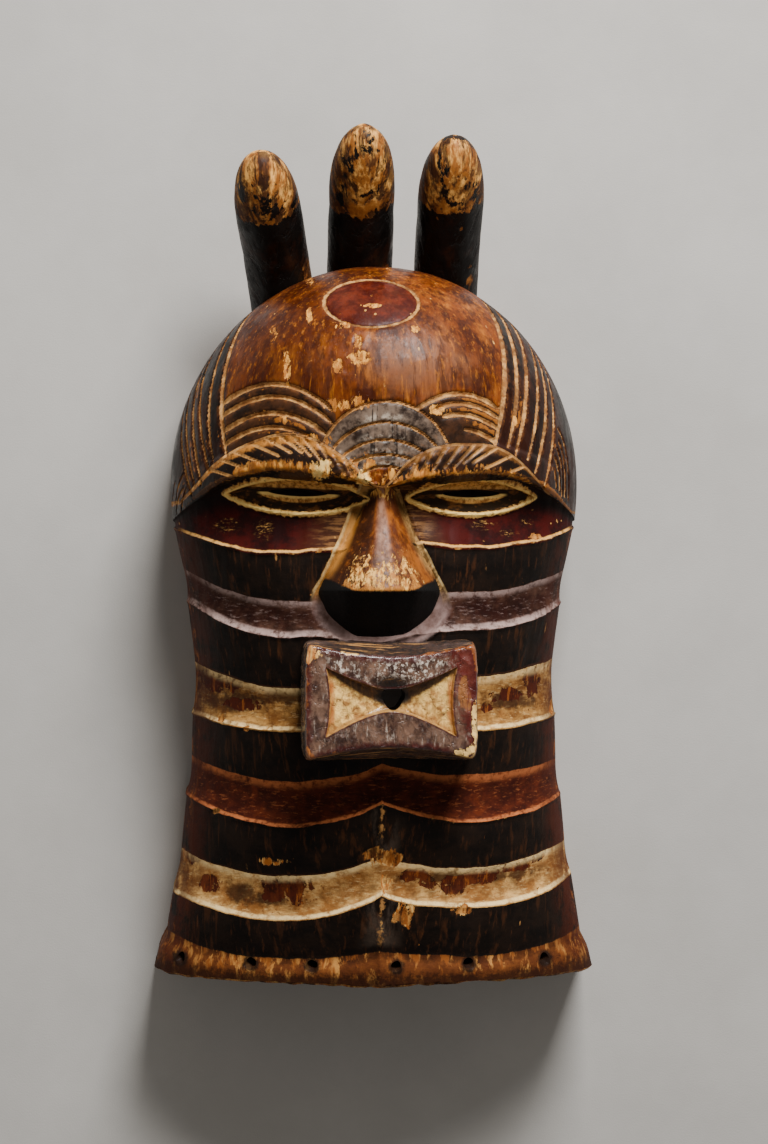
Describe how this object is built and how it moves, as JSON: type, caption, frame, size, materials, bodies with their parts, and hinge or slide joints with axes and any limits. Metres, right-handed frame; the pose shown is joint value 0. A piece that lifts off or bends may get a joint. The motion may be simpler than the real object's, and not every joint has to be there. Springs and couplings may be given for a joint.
{
  "type": "songye mask",
  "caption": "Carved wooden face mask with a domed forehead, boxed mouth, fluted bands and horns, hollow at the back and resting on its rim.",
  "frame": {"origin": "bottom centre of the mask's box, on the plane of its rim", "axes": "+Z out through the face, +Y from the chin to the crown and horns, +X to the right of someone who looks at the face"},
  "size_m": [0.282, 0.536, 0.19],
  "materials": {
    "carved_wood": "worn dark varnish over carved wood, with black, cream, red and brown pigment bands and pale bare edges"
  },
  "bodies": {
    "root": {"mask": "carved_wood"}
  },
  "joints": []
}
